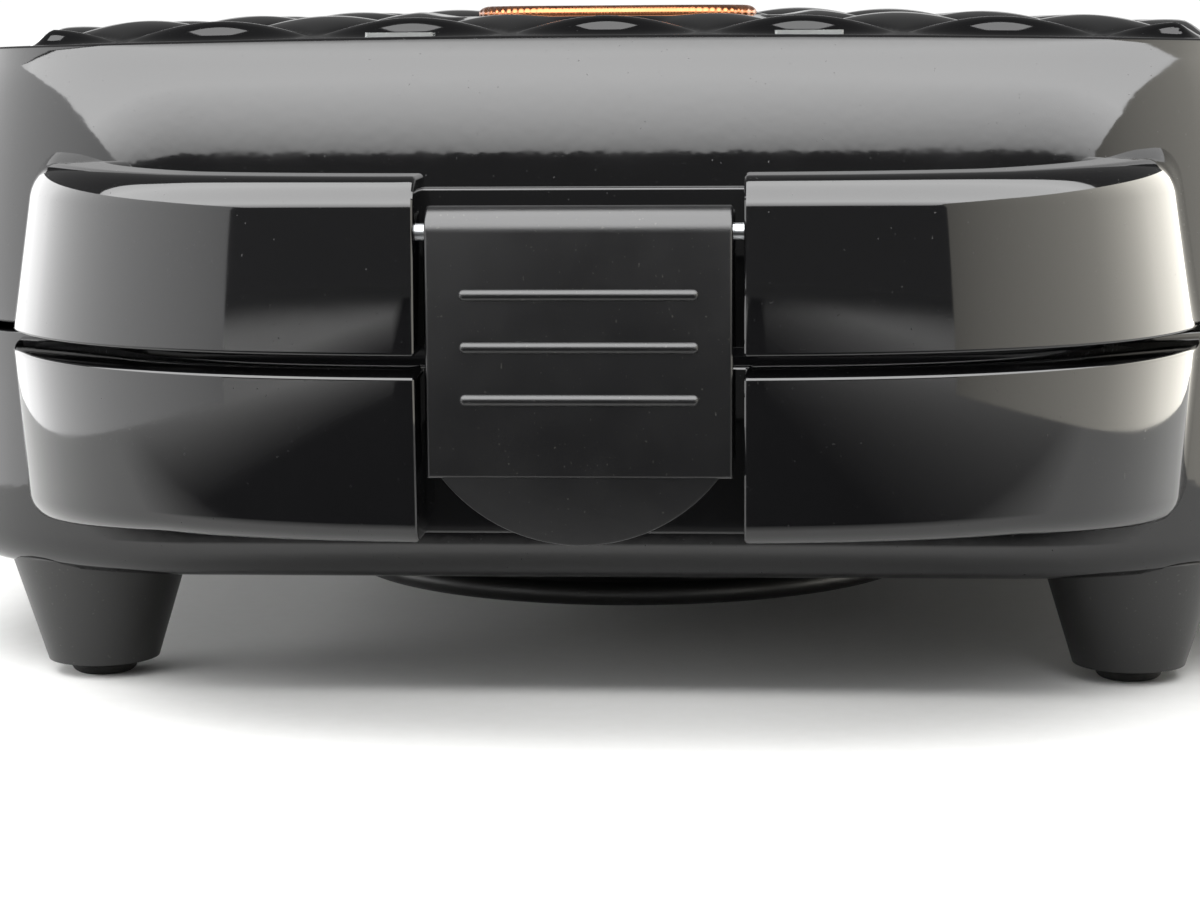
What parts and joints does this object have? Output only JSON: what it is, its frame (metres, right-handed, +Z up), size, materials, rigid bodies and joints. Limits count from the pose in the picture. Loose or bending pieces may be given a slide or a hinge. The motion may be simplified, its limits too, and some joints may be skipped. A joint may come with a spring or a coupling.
{
  "type": "doughnut maker",
  "caption": "Clamshell electric maker for small ring doughnuts: rounded square glossy body, quilted lid, split bow handle with a sprung latch, and tapered feet.",
  "frame": {"origin": "middle of the overall box, at the surface it stands on", "axes": "+X to the right seen from the handle, the handle points to -Y, +Z up"},
  "size_m": [0.23, 0.2498, 0.1065],
  "materials": {
    "gloss_black_plastic": "moulded, high gloss",
    "satin_black_plastic": "moulded, satin",
    "black_rubber": "matt rubber",
    "nonstick_aluminium": "cast, dark non-stick coating",
    "heater_steel": "heat-tinted steel tube",
    "steel_parts": "zinc-plated and sheet steel",
    "copper_trim": "polished copper colour",
    "lamp_lens": "frosted clear lens",
    "pale_nylon": "natural nylon",
    "lead_sleeve": "heat-proof sleeve",
    "board_green": "circuit board"
  },
  "bodies": {
    "base": {"base_shell": "gloss_black_plastic", "base_floor": "satin_black_plastic", "base_handle": "gloss_black_plastic", "latch_catch": "satin_black_plastic", "lower_plate": "nonstick_aluminium", "lower_element": "heater_steel", "lower_shield": "steel_parts", "lower_posts": "steel_parts", "lower_screws": "steel_parts", "thermostat": "steel_parts", "thermal_fuse": "pale_nylon", "terminal_block": "pale_nylon", "cord_gland": "satin_black_plastic", "cord_store": "satin_black_plastic", "cord_store_screws": "steel_parts", "base_hinge": "satin_black_plastic", "base_lead": "lead_sleeve", "leg_front_left": "satin_black_plastic", "leg_front_right": "satin_black_plastic", "leg_rear_left": "satin_black_plastic", "leg_rear_right": "satin_black_plastic", "foot_pad_front_left": "black_rubber", "foot_pad_front_right": "black_rubber", "foot_pad_rear_left": "black_rubber", "foot_pad_rear_right": "black_rubber", "hinge_pin_left": "steel_parts", "hinge_pin_right": "steel_parts"},
    "lid": {"lid_shell": "gloss_black_plastic", "lid_panel": "gloss_black_plastic", "copper_badge": "copper_trim", "lid_frame": "satin_black_plastic", "lid_handle": "gloss_black_plastic", "upper_plate": "nonstick_aluminium", "upper_element": "heater_steel", "upper_shield": "steel_parts", "upper_screws": "steel_parts", "lamp_board": "board_green", "power_lamp": "lamp_lens", "ready_lamp": "lamp_lens", "lid_hinge": "satin_black_plastic", "lid_lead": "lead_sleeve", "latch_pin": "steel_parts", "latch_spring": "steel_parts"},
    "latch": {"latch": "satin_black_plastic"}
  },
  "joints": [
    {"name": "lid_hinge", "type": "hinge", "parent": "base", "child": "lid", "pos_m": [0, 0.1204, 0.0587], "axis": [-1, 0, 0], "range_deg": [0, 100]},
    {"name": "latch_hinge", "type": "hinge", "parent": "lid", "child": "latch", "pos_m": [0, -0.1205, 0.0754], "axis": [-1, 0, 0], "range_deg": [0, 38], "stiffness_Nm_per_rad": 0.03, "springref_deg": -17.19, "deforming": ["latch_spring"]}
  ]
}
